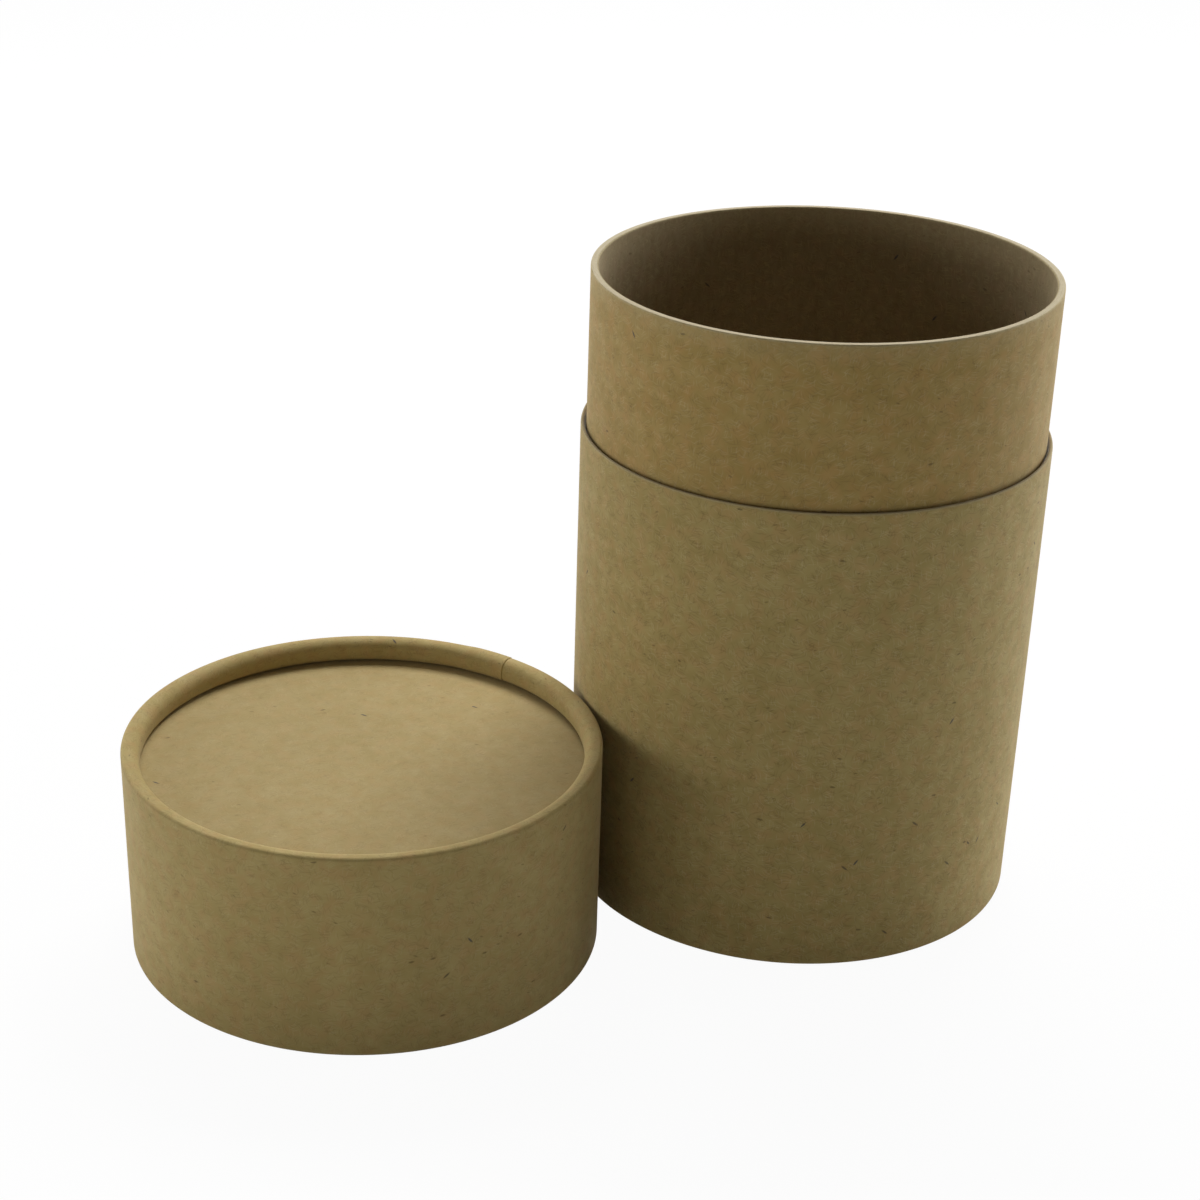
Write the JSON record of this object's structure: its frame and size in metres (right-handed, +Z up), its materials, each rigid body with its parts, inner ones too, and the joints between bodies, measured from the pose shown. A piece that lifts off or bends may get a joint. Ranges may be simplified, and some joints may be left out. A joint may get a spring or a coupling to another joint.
{
  "type": "cylindrical gift tube box",
  "caption": "Round kraft board gift tube: a wrapped body with a raised neck and a rolled foot, and a lift-off lid with a rolled rim that slides over the neck.",
  "frame": {"origin": "centre of the footprint of the whole set, the open box with its lid standing beside it, on the surface that both stand on", "axes": "+X from the lid towards the box, +Y to the left of that, +Z up along both axes of the box and the lid"},
  "size_m": [0.2019, 0.1014, 0.1384],
  "materials": {
    "kraft_wrap": "uncoated brown kraft paper, matt with a faint machine-glazed sheen",
    "kraft_facing": "uncoated brown kraft paper on a flat disc, matt",
    "kraft_liner": "uncoated brown kraft lining paper and card, matt",
    "tube_board": "wound kraft board with a cut, worn edge",
    "disc_board": "die-cut grey-brown board"
  },
  "bodies": {
    "box": {"body_tube": "tube_board", "body_wrap": "kraft_wrap", "base_disc": "disc_board", "base_facing": "kraft_facing", "base_lining": "kraft_liner", "neck_tube": "tube_board", "neck_wrap": "kraft_wrap", "neck_liner": "kraft_liner"},
    "lid": {"lid_tube": "tube_board", "lid_wrap": "kraft_wrap", "lid_disc": "disc_board", "lid_facing": "kraft_facing", "lid_lining": "kraft_liner", "lid_liner": "kraft_liner"}
  },
  "joints": [
    {"name": "lid_lift", "type": "slide", "parent": "box", "child": "lid", "axis": [0, 0, 1], "range_m": [0, 0.15]}
  ]
}
